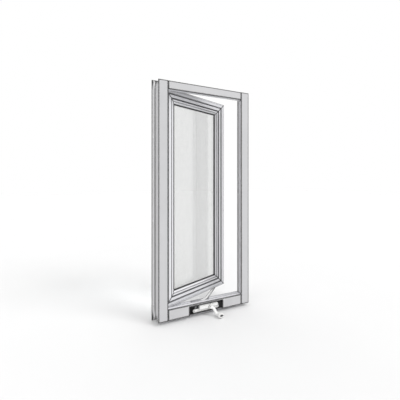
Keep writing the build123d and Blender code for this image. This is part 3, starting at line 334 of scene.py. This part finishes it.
def loft(name, rings, around=48):
    """A closed skin through superellipse rings: (centre, half axis, half axis, power)."""
    verts = []
    for centre, across, up, power in rings:
        for i in range(around):
            angle = math.tau * i / around
            c, s = math.cos(angle), math.sin(angle)
            verts.append(
                centre + across * math.copysign(abs(c) ** (2 / power), c)
                + up * math.copysign(abs(s) ** (2 / power), s)
            )
    first, last = len(verts), len(verts) + 1
    verts += [rings[0][0], rings[-1][0]]
    top = (len(rings) - 1) * around
    faces = []
    for i in range(around):
        j = (i + 1) % around
        faces += [(first, j, i), (last, top + i, top + j)]
        for r in range(0, top, around):
            faces.append((r + i, r + j, r + around + j, r + around + i))
    mesh = bpy.data.meshes.new(name)
    mesh.from_pydata(verts, [], faces)
    work = bmesh.new()
    work.from_mesh(mesh)
    bmesh.ops.recalc_face_normals(work, faces=work.faces)
    work.to_mesh(mesh)
    work.free()
    for face in mesh.polygons:
        face.use_smooth = True
    obj = bpy.data.objects.new(name, mesh)
    bpy.context.scene.collection.objects.link(obj)
    return obj


def settle(obj):
    """Apply an object's modifiers to its mesh."""
    graph = bpy.context.evaluated_depsgraph_get()
    done = bpy.data.meshes.new_from_object(obj.evaluated_get(graph))
    obj.modifiers.clear()
    obj.data = done


def bezier(a, b, c, d, t):
    """A number on the cubic with those four control numbers."""
    u = 1 - t
    return u ** 3 * a + 3 * u * u * t * b + 3 * u * t * t * c + t ** 3 * d


def arm_point(t):
    """Middle line of the crank's arm, t from 0 at the hub to 1 at the eye."""
    return (
        worm_centre
        + arm_dir * bezier(0, 0.43 * CRANK_REACH, 0.57 * CRANK_REACH, CRANK_REACH, t)
        + arm_side * ARM_SWAY * math.sin(math.tau * t)
        + crank_axis * bezier(HUB_MIDDLE, HUB_MIDDLE, EYE_MIDDLE, EYE_MIDDLE, t)
    )


def crank_arm():
    """Cast handle: round hub, S-shaped arm, round eye under the knob, all in one skin."""
    rings = []
    cap_steps = 8
    for i in range(cap_steps):
        back = math.cos(math.pi / 2 * i / cap_steps)
        width = HUB_RADIUS * math.sqrt(1 - back * back) + END_SLIVER
        centre = arm_point(0) - arm_dir * HUB_RADIUS * back
        rings.append((centre, arm_side * width, crank_axis * HUB_HALF, END_POWER))
    steps = 24
    for i in range(steps + 1):
        t = i / steps
        ahead = (arm_point(min(t + 0.01, 1)) - arm_point(max(t - 0.01, 0))).normalized()
        if i in (0, steps):
            ahead = arm_dir
        side = crank_axis.cross(ahead).normalized()
        waist = math.sin(math.pi * t) ** 1.5
        width = HUB_RADIUS + (EYE_RADIUS - HUB_RADIUS) * t - 0.6 * MM * waist
        thick = bezier(7.5, 5.0, 4.2, 4.5, t) * MM
        rings.append((arm_point(t), side * width, ahead.cross(side) * thick, ARM_POWER))
    for i in range(cap_steps):
        out = math.sin(math.pi / 2 * (i + 1) / cap_steps)
        width = EYE_RADIUS * math.sqrt(max(1 - out * out, 0)) + END_SLIVER
        centre = arm_point(1) + arm_dir * EYE_RADIUS * out
        rings.append((centre, arm_side * width, crank_axis * EYE_HALF, END_POWER))
    skin = loft("crank_arm", rings)
    remesh = skin.modifiers.new("remesh", "REMESH")
    remesh.mode = "VOXEL"
    remesh.voxel_size = 0.5 * MM
    remesh.use_smooth_shade = True
    smooth = skin.modifiers.new("smooth", "SMOOTH")
    smooth.iterations = 6
    smooth.factor = 0.5
    settle(skin)
    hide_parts("crank_handle")
    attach(skin, "crank")
    skin.data.materials.append(crank_enamel)


def knob_ring(height, long, short):
    """One oval ring of the knob, height from the worm along the crank's axis, all in mm."""
    foot = Vector(knob_joint["pos_m"]) - crank_axis * knob_offset.dot(crank_axis)
    return foot + crank_axis * height * MM, knob_long_dir * long * MM, knob_short_dir * short * MM, 2.0


def knob_grip():
    """Oval grip, open below for its pin, with a dark piece in a shallow slot in front, standing in as painted
    shade of a recess.
    """
    long, short = KNOB_LONG / MM, KNOB_SHORT / MM
    rings = [
        knob_ring(104.2, 9.1, 3.1), knob_ring(104.2, 9.5, 3.5), knob_ring(104.5, 9.6, 3.6),
        knob_ring(105.4, 9.7, 3.7), knob_ring(105.8, 10.2, 4.2),
    ]
    for height, out in (
        (105.9, 0.70), (105.4, 0.78), (104.2, 0.86), (102.2, 0.93), (99.6, 0.98), (96.8, 1.0),
        (93.8, 0.98), (91.0, 0.92), (88.5, 0.83), (86.2, 0.72), (84.4, 0.62), (83.5, 0.56),
    ):
        rings.append(knob_ring(height, long * out, short * out))
    rings += [
        knob_ring(83.2, long * 0.5, short * 0.5), knob_ring(83.2, 4.2, 4.2), knob_ring(83.6, 3.5, 3.5),
        knob_ring(84.2, 3.4, 3.4), knob_ring(100.4, 3.4, 3.4), knob_ring(100.7, 3.5, 3.5),
        knob_ring(100.8, 5.2, 5.2), knob_ring(101.0, 5.5, 5.5), knob_ring(103.3, 5.5, 5.5),
        knob_ring(103.6, 5.4, 5.4), knob_ring(103.6, 5.0, 5.0),
    ]
    grip = loft("crank_grip", rings, 64)
    # the near-black piece in the slot is painted shade of a recess
    slot_shade = loft("crank_grip_slot_shade", [
        knob_ring(104.25, 9.2, 3.2), knob_ring(105.0, 9.2, 3.2), knob_ring(105.2, 8.8, 2.9),
        knob_ring(105.3, 6.0, 2.0),
    ], 64)
    for piece in (grip, slot_shade):
        subdivide = piece.modifiers.new("subdivide", "SUBSURF")
        subdivide.levels = subdivide.render_levels = 1
        settle(piece)
    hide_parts("crank_knob")
    grip.data.materials.append(crank_enamel)
    slot_shade.data.materials.append(finishes["liner"])
    for piece in (grip, slot_shade):
        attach(piece, "knob")


crank_arm()
knob_grip()

# ---------------------------------------------------------------- floor, light, camera

floor_mat, floor_tree, floor_shader = new_material("floor_paper")
floor_at = coords(floor_tree)
floor_cloud = noise(floor_tree, floor_at, 0.5, 3)
finish_of(
    floor_tree, floor_shader,
    mix(floor_tree, floor_cloud, (0.80, 0.80, 0.80), (0.825, 0.825, 0.825)), 0.85,
)
floor_level = cad_low.z - 0.5 * MM
size = 14.0                     # half the floor's side, in metres
mesh = bpy.data.meshes.new("floor")
mesh.from_pydata(
    [(x * size, y * size, floor_level) for x, y in ((-1, -1), (1, -1), (1, 1), (-1, 1))],
    [], [(0, 1, 2, 3)],
)
floor = bpy.data.objects.new("floor", mesh)
floor.data.materials.append(floor_mat)
bpy.context.scene.collection.objects.link(floor)

world = bpy.data.worlds.new("studio")
bpy.context.scene.world = world
world.use_nodes = True
world.node_tree.nodes["Background"].inputs[0].default_value = (1, 1, 1, 1)
world.node_tree.nodes["Background"].inputs[1].default_value = 1.0

sun_data = bpy.data.lights.new("sun", "SUN")
sun_data.energy = 1.1
sun_data.angle = math.radians(25)
sun = bpy.data.objects.new("sun", sun_data)
sun.rotation_euler = Vector((-0.55, 0.62, -0.75)).to_track_quat("-Z", "Y").to_euler()
bpy.context.scene.collection.objects.link(sun)

camera_data = bpy.data.cameras.new("camera")
camera = bpy.data.objects.new("camera", camera_data)
bpy.context.scene.collection.objects.link(camera)
bpy.context.scene.camera = camera
camera.location = (-0.6180, -1.3113, 0.7124)
camera.rotation_euler = (math.radians(90), 0, -math.radians(24.5))
camera_data.sensor_width = 36.0
camera_data.lens = 23.4
camera_data.shift_y = -0.05025

bpy.context.scene.view_settings.view_transform = "Standard"
